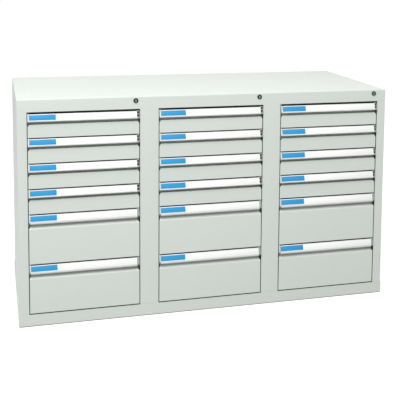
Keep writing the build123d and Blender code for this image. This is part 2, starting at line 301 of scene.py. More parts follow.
def make_piece(name: str, shells: Iterable[Shell]) -> Object:
    """Make one object of some shells, with poles and seams merged and its faces pointing outwards.

    Args:
        name: The piece's name.
        shells: The surfaces it is made of.

    Returns:
        The object, at the origin.
    """
    shells = list(shells)
    starts = np.cumsum([0] + [len(shell.points) for shell in shells])
    faces = [[int(start) + i for i in face] for start, shell in zip(starts, shells) for face in shell.faces]
    mesh = bpy.data.meshes.new(name)
    mesh.from_pydata(np.concatenate([shell.points for shell in shells]).tolist(), [], faces)
    work = bmesh.new()
    work.from_mesh(mesh)
    bmesh.ops.remove_doubles(work, verts=work.verts, dist=MERGE)
    finish_mesh(work, mesh, SHAPE_ANGLE)
    return link(name, mesh)


def finish_mesh(work: bmesh.types.BMesh, mesh: Mesh, sharp_angle: float) -> None:
    """Turn a shape's faces outwards and shade it smooth except at its sharp edges.

    Args:
        work: The shape, which is freed.
        mesh: The mesh that takes it.
        sharp_angle: Edges that turn by more than this many degrees stay sharp.
    """
    bmesh.ops.recalc_face_normals(work, faces=work.faces)
    work.to_mesh(mesh)
    work.free()
    mesh.shade_smooth()
    mesh.set_sharp_from_angle(angle=radians(sharp_angle))


def link(name: str, mesh: Mesh) -> Object:
    """Put a mesh into the scene as an object.

    Args:
        name: The object's name.
        mesh: Its mesh.

    Returns:
        The object.
    """
    piece = bpy.data.objects.new(name, mesh)
    bpy.context.scene.collection.objects.link(piece)
    return piece


def read(items: bpy_prop_collection, name: str, size: int, kind: type) -> np.ndarray:
    """Read one property of all of a mesh's points, edges or corners.

    Args:
        items: The points, edges or corners.
        name: The property's name.
        size: How many values it has for each.
        kind: The values' type.

    Returns:
        The values, one row for each.
    """
    values = np.empty(len(items) * size, kind)
    items.foreach_get(name, values)
    return values.reshape(-1, size)


def weld(points: np.ndarray, triangles: np.ndarray) -> tuple[np.ndarray, np.ndarray]:
    """Merge the doubles of loose triangles without joining solids that only touch.

    Triangles belong to one solid where they are the only two on an edge. Each starts with its own number and
    takes the lowest among its neighbours until no number changes. Points are merged where they share both
    their place and their solid's number.

    Args:
        points: The points, one per row.
        triangles: Three point numbers for each triangle.

    Returns:
        The merged points and the triangles that use them.
    """
    place = np.unique(np.round(points / MERGE).astype(np.int64), axis=0, return_inverse=True)[1].reshape(-1)
    whole = (place[triangles] != np.roll(place[triangles], 1, axis=1)).all(axis=1)
    triangles = triangles[whole]
    corners = place[triangles]
    edges = np.sort(np.stack([corners, np.roll(corners, -1, axis=1)], axis=-1).reshape(-1, 2), axis=1)
    _, edge, uses = np.unique(edges, axis=0, return_inverse=True, return_counts=True)
    edge = edge.reshape(-1)
    order = np.argsort(edge, kind="stable")
    pairs = (order[uses[edge[order]] == 2] // 3).reshape(-1, 2)
    solid, previous = np.arange(len(triangles)), None
    while previous is None or (solid != previous).any():
        previous = solid.copy()
        np.minimum.at(solid, pairs[:, 0], previous[pairs[:, 1]])
        np.minimum.at(solid, pairs[:, 1], previous[pairs[:, 0]])
        solid = solid[solid]
    keys = np.stack([np.repeat(solid, 3), corners.reshape(-1)], axis=1)
    _, first, merged = np.unique(keys, axis=0, return_index=True, return_inverse=True)
    return points[triangles.reshape(-1)[first]], merged.reshape(-1, 3)


@dataclass(frozen=True)
class Rim:
    """The edge widths of a drawer's front face: all round it, and along its top."""

    width: float
    top_width: float


def soften(node: str, width: float, rim: Rim | None = None) -> Object:
    """Make a copy of a sheet-metal node whose edges are rounded, and show it in the node's place.

    Args:
        node: The node's name.
        width: The bevel of the sharp edges.
        rim: The edge widths of the front face, where they differ.

    Returns:
        The copy.
    """
    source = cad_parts[node].data
    corners = read(source.loops, "vertex_index", 1, np.int32).reshape(-1, 3)
    points, triangles = weld(read(source.vertices, "co", 3, np.float32), corners)
    mesh = bpy.data.meshes.new(node + "_sheet")
    mesh.from_pydata(points.tolist(), [], triangles.tolist())
    work = bmesh.new()
    work.from_mesh(mesh)
    bmesh.ops.dissolve_limit(work, angle_limit=radians(FLAT_ANGLE), verts=work.verts, edges=work.edges)
    finish_mesh(work, mesh, SHEET_ANGLE)
    piece = link(node + "_sheet", mesh)
    modifier = piece.modifiers.new("edges", "BEVEL")
    modifier.width = rim.top_width if rim else width
    modifier.segments = 3 if rim else 2
    modifier.limit_method = "WEIGHT" if rim else "ANGLE"
    modifier.angle_limit = radians(SHEET_ANGLE)
    modifier.use_clamp_overlap = False
    modifier.harden_normals = True
    if rim:
        weigh_edges(mesh, width, rim)
    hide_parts(node)
    return piece


def weigh_edges(mesh: Mesh, width: float, rim: Rim) -> None:
    """Weigh the sharp edges for the bevel: in full at the top of the front face, less round it and elsewhere.

    Args:
        mesh: The mesh, whose sharp edges are marked.
        width: The bevel away from the rim.
        rim: The edge widths of the front face, which is the outermost one towards -Y.
    """
    points = read(mesh.vertices, "co", 3, np.float32)
    facing = points[:, 1] < points[:, 1].min() + 2 * MERGE
    upper = facing & (points[:, 2] > points[facing, 2].max() - 2 * MERGE)
    ends = read(mesh.edges, "vertices", 2, np.int32)
    sharp = read(mesh.edges, "use_edge_sharp", 1, bool)[:, 0]
    widths = np.where(facing[ends].all(axis=1), rim.width, width)
    widths = np.where(upper[ends].all(axis=1), rim.top_width, widths)
    weight = mesh.attributes.new("bevel_weight_edge", "FLOAT", "EDGE")
    weight.data.foreach_set("value", (sharp * widths / rim.top_width).astype(np.float32))


# Finishes


def linear(colour: str) -> tuple[float, float, float, float]:
    """Turn an sRGB colour such as "#d4dad4" into the linear values that a shader takes.

    Args:
        colour: The colour in hexadecimal.

    Returns:
        Red, green, blue and a full alpha.
    """
    values = np.array([int(colour[i : i + 2], 16) / 255 for i in (1, 3, 5)])
    values = np.where(values <= 0.04045, values / 12.92, ((values + 0.055) / 1.055) ** 2.4)
    return (*values.tolist(), 1.0)


def add_node(tree: NodeTree, kind: str, inputs: dict | None = None, **settings) -> Node:
    """Add a node with its settings and inputs.

    Args:
        tree: The node tree.
        kind: The node's type, without the words that all shader nodes share.
        inputs: Each input's value, or the output socket that is linked to it.
        **settings: The node's own properties.

    Returns:
        The node.
    """
    node = tree.nodes.new("ShaderNode" + kind)
    for name, value in settings.items():
        setattr(node, name, value)
    for name, value in (inputs or {}).items():
        if isinstance(value, NodeSocket):
            tree.links.new(value, node.inputs[name])
        else:
            node.inputs[name].default_value = value
    return node


def compute(tree: NodeTree, operation: str, *values: float | NodeSocket) -> NodeSocket:
    """Add a math node.

    Args:
        tree: The node tree.
        operation: The node's operation.
        *values: Its inputs, each a number or an output socket.

    Returns:
        The output socket.
    """
    return add_node(tree, "Math", dict(enumerate(values)), operation=operation).outputs[0]


def empty_tree(owner: Material | World) -> NodeTree:
    """Turn on the nodes of a material or a world.

    Args:
        owner: The material or world.

    Returns:
        Its node tree, without nodes.
    """
    owner.use_nodes = True
    owner.node_tree.nodes.clear()
    return owner.node_tree


def dense(feature_mm: float) -> float:
    """The scale of a noise pattern whose features are about this many millimetres wide."""
    return 1 / (feature_mm * MM)


@dataclass(frozen=True)
class Finish:
    """A finish with a base colour that wavers a little and a fine bump."""

    name: str
    colour: str
    second_colour: str
    roughness: float
    roughness_spread: float
    cloud_mm: float
    grain_mm: float
    bump_mm: float
    stretch: tuple[float, float, float] = (1, 1, 1)
    metallic: float = 0
    ior: float = 1.5
    coat: float = 0
    coat_roughness: float = 0.03

    def build(self) -> Material:
        """Make the material.

        Returns:
            The material, with its pattern on Object coordinates.
        """
        material = bpy.data.materials.new(self.name)
        tree = empty_tree(material)
        place = add_node(tree, "TexCoord").outputs["Object"]
        fine = add_node(tree, "Mapping", {"Vector": place, "Scale": self.stretch}).outputs["Vector"]
        cloud = add_node(tree, "TexNoise", {"Vector": place, "Scale": dense(self.cloud_mm), "Detail": 3.0})
        grain = add_node(tree, "TexNoise", {"Vector": fine, "Scale": dense(self.grain_mm), "Detail": 2.0})
        # Inputs 6 and 7 of a colour mix are its two colours.
        colours = {"Factor": cloud.outputs["Fac"], 6: linear(self.colour), 7: linear(self.second_colour)}
        tone = add_node(tree, "Mix", colours, data_type="RGBA")
        low, high = self.roughness - self.roughness_spread, self.roughness + self.roughness_spread
        height = grain.outputs["Fac"]
        rough = add_node(tree, "MapRange", {"Value": height, "To Min": low, "To Max": high})
        bump = add_node(tree, "Bump", {"Height": height, "Distance": self.bump_mm * MM, "Strength": 1.0})
        shader = add_node(
            tree,
            "BsdfPrincipled",
            {
                "Base Color": tone.outputs[2],
                "Roughness": rough.outputs["Result"],
                "Normal": bump.outputs["Normal"],
                "Metallic": self.metallic,
                "IOR": self.ior,
                "Coat Weight": self.coat,
                "Coat Roughness": self.coat_roughness,
            },
        )
        add_node(tree, "OutputMaterial", {"Surface": shader.outputs["BSDF"]})
        return material


class Finishes:
    """All the finishes of the cabinet, each made once."""

    def __init__(self) -> None:
        """Make every material."""
        # Polyester powder coat on sheet steel, oven-cured: semi-matt with a fine orange-peel skin. The real
        # ripples are about 1 mm wide; they are drawn 2.5 mm wide, because finer ones don't show.
        self.powder_coat = Finish(
            "polyester_powder_coat", "#d7ddd7", "#d4dad4", 0.42, 0.05, 300, 2.5, 0.02
        ).build()
        # White PVC, extruded: smooth, with faint draw lines along its length.
        self.white_pvc = Finish(
            "extruded_white_pvc", "#f3f5f3", "#f0f2f0", 0.28, 0.04, 120, 1.2, 0.01, (0.004, 1, 1), ior=1.53
        ).build()
        # White card under a clear cover film: even, with the film's soft gloss.
        self.white_card = Finish(
            "white_label_card", "#f3f4f2", "#f0f2ef", 0.6, 0.05, 60, 0.8, 0.004, coat=0.3, coat_roughness=0.2
        ).build()
        # Offset-printed blue card under the same film: flat ink with a trace of the paper's mottle.
        self.blue_card = Finish(
            "printed_blue_card", "#2c96cb", "#2891c7", 0.6, 0.05, 25, 0.8, 0.004,
            ior=1.4, coat=0.1, coat_roughness=0.2,
        ).build()
        # Grey ABS, injection-moulded in a spark-eroded tool: a fine matt grain. On the right caps its darker
        # grey is partly the cap's own grey and partly painted shade from the strip's end.
        self.cap_grey_and_shade = Finish("moulded_abs_grey_and_shade", "#a0a5a2", "#9a9f9c", 0.45, 0.06, 20, 0.7, 0.012).build()
        # The same ABS in a pale grey.
        self.pale_abs = Finish("moulded_pale_abs", "#d3d7d4", "#cdd1ce", 0.45, 0.06, 20, 0.7, 0.012).build()
        # Black PVC, extruded: dull, with draw lines along its length. Its black on the strip's leg and top
        # edge is painted shade, so that the gap above each drawer reads dark.
        self.shade_pvc = Finish(
            "extruded_pvc_black_shade", "#151616", "#1a1b1b", 0.5, 0.06, 60, 1.2, 0.01, (0.01, 1, 1)
        ).build()
        # Black EPDM rubber, extruded: dull and even, with a faint bloom. Its black on the opening seals and
        # the cap pads is painted shade in the gaps and grooves.
        self.black_rubber_shade = Finish(
            "extruded_black_epdm_shade", "#101111", "#171818", 0.7, 0.08, 40, 1.0, 0.01
        ).build()
        # Black ABS, moulded and polished: the lock's bezel.
        self.black_abs = Finish("moulded_black_abs", "#121313", "#161717", 0.3, 0.05, 10, 0.6, 0.006).build()
        # Black polyamide, moulded: the glide discs, matt and slightly scuffed.
        self.black_nylon = Finish(
            "moulded_black_polyamide", "#1b1b1b", "#232323", 0.55, 0.1, 12, 1.0, 0.02
        ).build()
        # Natural polyamide, moulded: the bar guides, milky.
        self.natural_nylon = Finish(
            "moulded_natural_polyamide", "#dcdacb", "#d6d4c4", 0.45, 0.08, 15, 0.8, 0.01
        ).build()
        # Electro-galvanised cold-rolled steel: grey and faintly clouded, with rolling lines along its length.
        self.zinc_steel = Finish(
            "galvanised_rolled_steel", "#aeb2b5", "#a3a8ab", 0.38, 0.1, 30, 1.5, 0.006, (1, 0.05, 1),
            metallic=1,
        ).build()
        # Bright nickel plating on turned brass: smooth, a little warm.
        self.nickel = Finish(
            "bright_nickel_plate", "#cfccc4", "#c9c6be", 0.22, 0.05, 6, 0.4, 0.002, metallic=1
        ).build()


def dress(piece: Object, finish: Material, body: str) -> Object:
    """Give a piece its finish, and let it ride on its body.

    Args:
        piece: The piece.
        finish: Its material.
        body: The body it moves with.

    Returns:
        The piece.
    """
    piece.data.materials.clear()
    piece.data.materials.append(finish)
    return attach(piece, body)


# Sub-assemblies


@dataclass
class Carcass:
    """The cabinet's body: folded sheets, feet and back screws, all on the body named cabinet."""

    finishes: Finishes
    sheets: tuple[str, ...] = (
        "top_cover", "left_end_panel", "right_end_panel", "left_partition", "right_partition",
        "floor_panel", "back_panel", "base_frame",
    )
    edge: float = 0.5 * MM
    foot_radius: float = 19 * MM
    foot_taper: float = 0.6 * MM
    stud_radius: float = 5 * MM
    stud_tip: float = 1 * MM
    foot_count: tuple[int, int] = (3, 2)
    screw_radius: float = 4.2 * MM
    screw_height: float = 1.7 * MM
    screw_levels: tuple[float, ...] = (0.11, 0.37, 0.63, 0.89)
    screw_rim: float = 0.35
    cross_half_width: float = 0.16
    cross_reach: float = 0.6
    cross_fade: float = 0.1
    cross_depth: float = 1 * MM
    flange_middle: float = 9.2 * MM

    def build(self) -> None:
        """Build and dress every piece of the carcass."""
        for node in self.sheets:
            dress(soften(node, self.edge), self.finishes.powder_coat, "cabinet")
        self.make_feet()
        self.make_screws()

    def make_feet(self) -> None:
        """Glide discs with a rounded rim under the base frame, each with its stud."""
        low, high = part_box("levelling_feet")
        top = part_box("base_frame")[0].z
        radius = self.foot_radius
        disc = np.array([[0, 0], [radius - self.foot_taper, 0], [radius, top], [0, top]])
        disc = round_corners(disc, np.array([0, 0.8, 0.5, 0]) * MM, 5, False)
        stud = np.array([[0, top], [1, top], [1, high.z - self.stud_tip], [0.8, high.z], [0, high.z]])
        stud[:, 0] *= self.stud_radius
        xs = np.linspace(low.x + radius, high.x - radius, self.foot_count[0])
        ys = np.linspace(low.y + radius, high.y - radius, self.foot_count[1])
        places = [Axes((x, y, 0), (1, 0, 0), (0, 1, 0), (0, 0, 1)) for x in xs for y in ys]
        discs = make_piece("glide_discs", [turned(disc, place, 48) for place in places])
        dress(discs, self.finishes.black_nylon, "cabinet")
        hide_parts("levelling_feet")
        studs = make_piece("foot_studs", [turned(stud, place, 24) for place in places])
        dress(studs, self.finishes.zinc_steel, "cabinet")

    def make_screws(self) -> None:
        """Pan-head screws in the back panel, one line in every rear flange."""
        low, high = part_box("back_panel")
        edges = [low.x, high.x]
        for node in ("left_partition", "right_partition"):
            edges += [box.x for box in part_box(node)]
        inwards = (1, -1) * 3
        xs = [edge + sign * self.flange_middle for edge, sign in zip(edges, inwards)]
        zs = [low.z + (high.z - low.z) * share for share in self.screw_levels]
        places = [Axes((x, high.y, z), (-1, 0, 0), (0, 0, 1), (0, 1, 0)) for x in xs for z in zs]
        screws = make_piece("back_screws", [self.screw_head(place) for place in places])
        dress(screws, self.finishes.zinc_steel, "cabinet")

    def screw_head(self, axes: Axes) -> Shell:
        """A domed screw head with a cross recess.

        On a grid of radius and angle, the height is that of an ellipse on a rim, less a recess in the shape
        of a cross, whose edges fall off smoothly.

        Args:
            axes: The head's place, with its third axis outwards.

        Returns:
            The shell.
        """
        share = np.append(np.linspace(0, 0.62, 7), [0.8, 0.92, 1, 1])
        angle = np.linspace(0, 2 * np.pi, 32, endpoint=False)
        radius = self.screw_radius * share[:, None]
        plane_points = np.stack([radius * np.cos(angle), radius * np.sin(angle)], axis=-1)
        near = np.abs(plane_points).min(axis=-1) / self.screw_radius
        across = np.clip((self.cross_half_width - near) / self.cross_fade, 0, 1)
        along = np.clip((self.cross_reach - share[:, None]) / self.cross_fade, 0, 1)
        ellipse = np.sqrt(np.clip(1 - share[:, None] ** 2, 0, 1))
        height = self.screw_height * (self.screw_rim + (1 - self.screw_rim) * ellipse)
        height = height - self.cross_depth * across * along
        height[-1] = 0
        return skin(axes.place(plane_points, height), False, False)


@dataclass
class Opening:
    """The black seal round one column's opening, clipped over the edges of the posts, rail and floor; its
    black is painted shade, so that the gaps round the drawers read dark.
    """

    column: Column
    finishes: Finishes
    side_gap: float = 1.8 * MM
    sheet: float = 0.6 * MM
    depth: float = 13 * MM
    side_lip: float = 0.7 * MM
    rail_lip: float = 1.2 * MM
    sill_lip: float = 1.2 * MM
    floor_sheet: float = 1.2 * MM
    end_edge: float = 0.1 * MM

    def build(self) -> None:
        """Build and dress the seal: an angle on each of the opening's four edges."""
        low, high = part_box(f"{self.column.value}_drawer_1")
        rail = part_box("top_cover")[0]
        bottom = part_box("floor_panel")[0].z + self.floor_sheet
        left, right = low.x - self.side_gap, high.x + self.side_gap
        shells = []
        for x, inward in ((left, 1), (right, -1)):
            place = Axes((x, rail.y, 0), (inward, 0, 0), (0, 1, 0), (0, 0, 1))
            shells.append(bar(self.angle(self.side_lip), place, bottom, rail.z, self.end_edge))
        for z, inward, lip in ((rail.z, -1, self.rail_lip), (bottom, 1, self.sill_lip)):
            place = Axes((0, rail.y, z), (0, 0, inward), (0, 1, 0), (1, 0, 0))
            ends = left - self.side_lip, right + self.side_lip
            shells.append(bar(self.angle(lip), place, *ends, self.end_edge))
        seal = make_piece(f"{self.column.value}_opening_shade_seal", shells)
        # The seal's black is painted shade in the gaps round the drawers.
        dress(seal, self.finishes.black_rubber_shade, "cabinet")

    def angle(self, lip: float) -> np.ndarray:
        """The section of the seal: a leg on the edge's inner side, and a lip over its front.

        Args:
            lip: How far the lip reaches over the front.

        Returns:
            The closed outline, with the opening along the first axis and the cabinet's back along the second.
        """
        half = self.sheet / 2
        path = np.array([[-lip, -half], [half, -half], [half, self.depth]])
        return band(round_corners(path, np.array([0, half * 1.2, 0]), 3, False), self.sheet)


@dataclass
class Drawer:
    """One drawer: the painted front and tray, with the grip's strip, caps and label cards on it."""

    column: Column
    row: Row
    finishes: Finishes
    edge: float = 0.3 * MM
    front_edge: float = 1.0 * MM
    front_top_edge: float = 2.5 * MM
    front_depth: float = 19 * MM
    sheet: float = 1.6 * MM
    top_reach: float = 1.0 * MM
    projection: float = 11 * MM
    height: float = 31 * MM
    leg: float = 14 * MM
    hook_depth: float = 6.5 * MM
    hook_height: float = 7 * MM
    left_cap: float = 5 * MM
    right_cap: float = 10 * MM
    cap_setback: float = 3 * MM
    cap_flange: float = 1.2 * MM
    end_edge: float = 0.3 * MM
    lip_edge: float = 0.25 * MM
    fine_edge: float = 0.1 * MM
    curl_level: float = 37.5 * MM
    curl_radius: float = 9 * MM
    curl_end: float = 4 * MM
    rib_depth: float = 3.5 * MM
    rib_shares: tuple[float, ...] = (0.13, 0.42, 0.52, 0.85)
    pad_sink: float = 0.9 * MM
    pad_wave: float = 0.45 * MM
    pad_ridges: int = 4
    pad_gap: float = 0.03
    pad_root: float = 0.2 * MM
    pad_sides: tuple[float, float] = (1.6 * MM, 2.6 * MM)
    black_shade_share: float = 0.045
    lip_width: float = 2.2 * MM
    lip_height: float = 1.0 * MM
    label_length: float = 101 * MM
    label_shares: tuple[float, float] = (0.135, 0.825)
    card: float = 0.5 * MM
    card_gap: float = 0.4 * MM

    @property
    def body(self) -> str:
        """The body that the drawer and its grip ride on."""
        return f"{self.column.value}_drawer_{self.row.value}"

    @property
    def grip(self) -> str:
        """The node of the drawer's grip."""
        return f"{self.column.value}_grip_{self.row.value}"

    def build(self) -> None:
        """Build and dress the drawer and its grip.

        The grip's pieces share the axes of its section: the first goes inwards from the front's face, the
        second up from the grip's top, and the third along the strip.
        """
        tray = soften(self.body, self.edge, Rim(self.front_edge, self.front_top_edge))
        dress(tray, self.finishes.powder_coat, self.body)
        low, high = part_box(self.grip)
        self.axes = Axes((0, high.y - self.front_depth, high.z), (0, 1, 0), (0, 0, 1), (1, 0, 0))
        self.make_strip(low.x + self.left_cap, high.x - self.right_cap)
        self.make_cap("left_cap", self.finishes.pale_abs, low.x, low.x + self.left_cap, low.x)
        # The right caps take the darker copy of the cap plastic: partly its own grey, partly painted shade.
        self.make_cap("right_cap", self.finishes.cap_grey_and_shade, high.x - self.right_cap, high.x, high.x)
        # The right caps of the shallow rows get black pads as painted shade in their grooves.
        if not self.row.deep:
            self.make_shade_pads(high.x - self.right_cap + self.pad_sides[0], high.x - self.pad_sides[1])

    def path(self) -> np.ndarray:
        """The corners of the strip's middle line, from its leg to the hook behind the nose."""
        half = self.sheet / 2
        hook = self.hook_depth - self.projection
        return np.array(
            [
                [self.front_depth - half, -self.leg],
                [self.front_depth - half, -half],
                [-self.top_reach, -half],
                [half - self.projection, half - self.height],
                [hook, half - self.height],
                [hook, self.hook_height - self.height],
            ]
        )

    @property
    def face(self) -> tuple[np.ndarray, np.ndarray]:
        """The upper and lower end of the middle line of the strip's face."""
        upper, lower = self.path()[2:4]
        return upper, lower

    @property
    def cap_face(self) -> tuple[np.ndarray, np.ndarray]:
        """The upper and lower end of a cap's face, a little behind the strip's."""
        upper = np.array([self.cap_setback - self.top_reach, 0])
        return upper, np.array([self.cap_setback - self.projection, self.cap_setback - self.height])

    @property
    def curl_share(self) -> float:
        """How far down the line of the face a deep row's strip curls back, as a share of the face."""
        upper, lower = self.face
        return float((-self.curl_level - upper[1]) / (lower[1] - upper[1]))

    def make_strip(self, left: float, right: float) -> None:
        """The strip on its black carrier, whose black is painted shade in the gap above the drawer, with a
        lip over each edge of its label field, and the cards in it.

        Args:
            left: The strip's left end.
            right: The strip's right end.
        """
        path = self.path()
        # The black carrier reaches a little way down the face: painted shade along the strip's top edge.
        join = beside(*self.face, [self.black_shade_share], [0])
        flange = round_corners(np.concatenate([path[:3], join]), np.array([0, 1.2, 1.0, 0]) * MM, 6, False)
        shell = bar(band(flange, self.sheet), self.axes, left, right, self.end_edge)
        dress(make_piece(self.grip + "_shade_carrier", [shell]), self.finishes.shade_pvc, self.body)
        if self.row.deep:
            lower = beside(*self.face, [self.curl_share], [0])
            lower = np.concatenate([lower, [[self.curl_end, lower[0, 1]]]])
            radii = np.array([0, self.curl_radius, 0])
        else:
            lower, radii = path[3:], np.array([0, 2.4, 1.6, 0]) * MM
        outline = band(round_corners(np.concatenate([join, lower]), radii, 10, False), self.sheet)
        shells = [bar(outline, self.axes, left, right, self.end_edge)]
        half_lip = self.lip_width / float(np.linalg.norm(path[3] - path[2])) / 2
        top, bottom = self.sheet / 2 + self.lip_height, self.sheet / 8
        for middle in (self.label_shares[0] - half_lip, self.label_shares[1] + half_lip):
            shares = [middle - half_lip, middle + half_lip, middle + half_lip, middle - half_lip]
            corners = beside(*self.face, shares, [bottom, bottom, top, top])
            lip = round_corners(corners, np.array([0.1, 0.1, 0.45, 0.45]) * MM, 4, True)
            shells.append(bar(lip, self.axes, left, right, self.lip_edge))
        strip = dress(make_piece(self.grip + "_strip", shells), self.finishes.white_pvc, self.body)
        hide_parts(self.grip)
        split = left + self.label_length
        self.make_card("label", self.finishes.blue_card, left + self.card_gap, split)
        self.make_card("blank_card", self.finishes.white_card, split, right - self.card_gap)

    def make_card(self, name: str, finish: Material, left: float, right: float) -> None:
        """A card between the strip's lips.

        Args:
            name: The card's name after the grip's.
            finish: Its material.
            left: Its left end.
            right: Its right end.
        """
        upper, lower = self.label_shares
        outer = self.sheet / 2 + self.card
        inner = self.sheet / 2 - self.fine_edge
        corners = beside(*self.face, [upper, lower, lower, upper], [inner, inner, outer, outer])
        outline = round_corners(corners, np.array([0.05, 0.05, 0.1, 0.1]) * MM, 3, True)
        piece = make_piece(f"{self.grip}_{name}", [bar(outline, self.axes, left, right, self.fine_edge)])
        dress(piece, finish, self.body)

    def cap_outline(self, ribbed: bool) -> np.ndarray:
        """The side outline of an end cap.

        Args:
            ribbed: Whether it has two grooves across its face.

        Returns:
            The closed outline.
        """
        back = np.array([[self.front_depth, -self.height], [self.front_depth, 0]])
        face = np.array(self.cap_face)
        if self.row.deep:
            face = beside(*self.cap_face, [0, self.curl_share], [0, 0])
            under = np.array([[self.curl_end, face[1, 1]], [self.curl_end, -self.height]])
            radii = np.array([0.5, 0.5, 1.2, 8, 0.8, 0.2]) * MM
            return round_corners(np.concatenate([back, face, under]), radii, 6, True)
        radii = [0.5, 0.5, 1.2, 0.8, 0.8]
        if ribbed:
            shares = np.repeat(self.rib_shares, 2)
            heights = np.tile([0, -1, -1, 0], 2) * self.rib_depth
            face = np.concatenate([face[:1], beside(*self.cap_face, shares, heights), face[1:]])
            radii = [0.5, 0.5, 1.2] + [0.4] * 8 + [0.8, 0.8]
        end = np.array([[face[-1, 0], -self.height]])
        return round_corners(np.concatenate([back, face, end]), np.array(radii) * MM, 4, True)

    def make_shade_pads(self, left: float, right: float) -> None:
        """Black ridged pads in the grooves of a ribbed cap; their black is painted shade in the grooves.

        From a groove's upper to its lower end, the pad's face lies under the cap's by the pad's sink plus its
        wave times the cosine of the ridges' turns.

        Args:
            left: The pads' left end.
            right: The pads' right end.
        """
        shells = []
        for upper, lower in np.reshape(self.rib_shares, (2, 2)):
            share = np.linspace(0, 1, 8 * self.pad_ridges + 1)
            height = -self.pad_sink - self.pad_wave * np.cos(2 * np.pi * self.pad_ridges * share)
            along = upper + (lower - upper) * (self.pad_gap + (1 - 2 * self.pad_gap) * share)
            root = [-self.rib_depth - self.pad_root] * 2
            outline = beside(*self.cap_face, np.append(along, along[[-1, 0]]), np.append(height, root))
            shells.append(bar(outline, self.axes, left, right, self.fine_edge))
        dress(make_piece(self.grip + "_shade_pads", shells), self.finishes.black_rubber_shade, self.body)

    def make_cap(self, name: str, finish: Material, left: float, right: float, outside: float) -> None:
        """An end cap: a body behind the strip's end, and a thin flange at the front's outer edge.

        Args:
            name: The cap's name after the grip's.
            finish: Its material.
            left: The cap's left end.
            right: The cap's right end.
            outside: Which of the two ends the flange is at.
        """
        at_right = outside == right
        step = right - self.cap_flange if at_right else left + self.cap_flange
        inner, rim = ((left, step), (step, right)) if at_right else ((step, right), (left, step))
        shells = [
            bar(self.cap_outline(at_right and not self.row.deep), self.axes, *inner, self.fine_edge),
            bar(self.cap_outline(False), self.axes, *rim, self.lip_edge),
        ]
        piece = make_piece(f"{self.grip}_{name}", shells)
        dress(piece, finish, self.body)


@dataclass
class Lock:
    """One column's lock: housing, plug with its key plate, cam and locking bar."""

    column: Column
    finishes: Finishes
    collar_radius: float = 10 * MM
    collar_proud: float = 3 * MM
    barrel_radius: float = 8.5 * MM
    barrel_length: float = 22 * MM
    plug_radius: float = 6 * MM
    plug_recess: float = 0.6 * MM
    nut_radius: float = 12 * MM
    nut_thickness: float = 4 * MM
    rail_sheet: float = 1.2 * MM
    plate_width: float = 3.4 * MM
    plate_height: float = 10 * MM
    plate_sink: float = 0.5 * MM
    plate_proud: float = 0.3 * MM
    slot_width: float = 1.3 * MM
    edge: float = 0.25 * MM

    @property
    def plug(self) -> str:
        """The plug's node, and the body it is."""
        return f"{self.column.value}_lock_plug"

    def build(self) -> None:
        """Build and dress the lock's pieces."""
        low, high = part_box(self.plug)
        centre = (low + high) / 2
        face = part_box("top_cover")[0].y
        self.axes = Axes((centre.x, face, centre.z), (1, 0, 0), (0, 0, 1), (0, -1, 0))
        self.make_housing()
        self.make_plug()
        zinc, locking_bar = self.finishes.zinc_steel, f"{self.column.value}_locking_bar"
        dress(soften(f"{self.column.value}_lock_cam", self.edge), zinc, self.plug)
        dress(soften(locking_bar, self.edge), zinc, locking_bar)

    def make_housing(self) -> None:
        """The housing: a bezel with a rounded rim and a dished inner edge, its barrel and a hexagon nut."""
        bore = self.plug_radius + 0.06 * MM
        corners = np.array(
            [
                [bore, -self.barrel_length],
                [bore, self.collar_proud - 0.6 * MM],
                [bore + 0.8 * MM, self.collar_proud],
                [self.collar_radius - 0.6 * MM, self.collar_proud - 0.3 * MM],
                [self.collar_radius, 0],
                [self.barrel_radius, 0],
                [self.barrel_radius, -self.barrel_length],
            ]
        )
        radii = np.array([0.1, 0.2, 0.5, 1.0, 0.1, 0.1, 0.2]) * MM
        ring = turned(round_corners(corners, radii, 5, True), self.axes, 64, ring=True)
        corner_angles = np.radians(np.arange(0, 360, 60))
        hexagon = np.stack([np.cos(corner_angles), np.sin(corner_angles)], axis=1) * self.nut_radius
        outline = round_corners(hexagon, np.full(6, 0.6 * MM), 3, True)
        back = -self.rail_sheet
        nut = bar(outline, self.axes, back - self.nut_thickness, back, 0.3 * MM)
        piece = make_piece(f"{self.column.value}_lock_housing", [ring, nut])
        dress(piece, self.finishes.black_abs, "cabinet")
        if self.column is Column.LEFT:
            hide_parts("lock_housings")

    def make_plug(self) -> None:
        """The plug: a black turned core with a nickel plate round its key slot."""
        face = self.collar_proud - self.plug_recess
        end = -self.barrel_length
        corners = np.array([[0, face], [self.plug_radius, face], [self.plug_radius, end], [0, end]])
        profile = round_corners(corners, np.array([0, 0.4, 0.2, 0]) * MM, 4, False)
        core = make_piece(self.plug + "_core", [turned(profile, self.axes, 48)])
        dress(core, self.finishes.black_abs, self.plug)
        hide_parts(self.plug)
        wall = (self.plate_width - self.slot_width) / 2
        half_slot = np.array([self.slot_width, self.plate_height - 2 * wall]) / 2
        slot = np.array([[-1, -1], [1, -1], [1, 1], [-1, 1]]) * half_slot
        slot = round_corners(slot, np.full(4, half_slot[0] - 0.01 * MM), 8, True)
        root, top = face - self.plate_sink, face + self.plate_proud
        corners = np.array([[0, root], [0, top], [wall, top], [wall, root]])
        section = round_corners(corners, np.array([0.05, 0.15, 0.2, 0.05]) * MM, 3, True)
        grid = carry(section, slot, outward(slot), self.axes)
        plate = make_piece(self.plug + "_key_plate", [skin(grid, True, False)])
        dress(plate, self.finishes.nickel, self.plug)


@dataclass
class Inside:
    """What the closed drawers hide: the rails on the walls and the guides of the locking bars."""

    finishes: Finishes
    edge: float = 0.25 * MM

    def build(self) -> None:
        """Dress the rails and the guides."""
        for column in Column:
            dress(soften(f"{column.value}_rails", self.edge), self.finishes.zinc_steel, "cabinet")
        dress(soften("bar_guides", self.edge), self.finishes.natural_nylon, "cabinet")


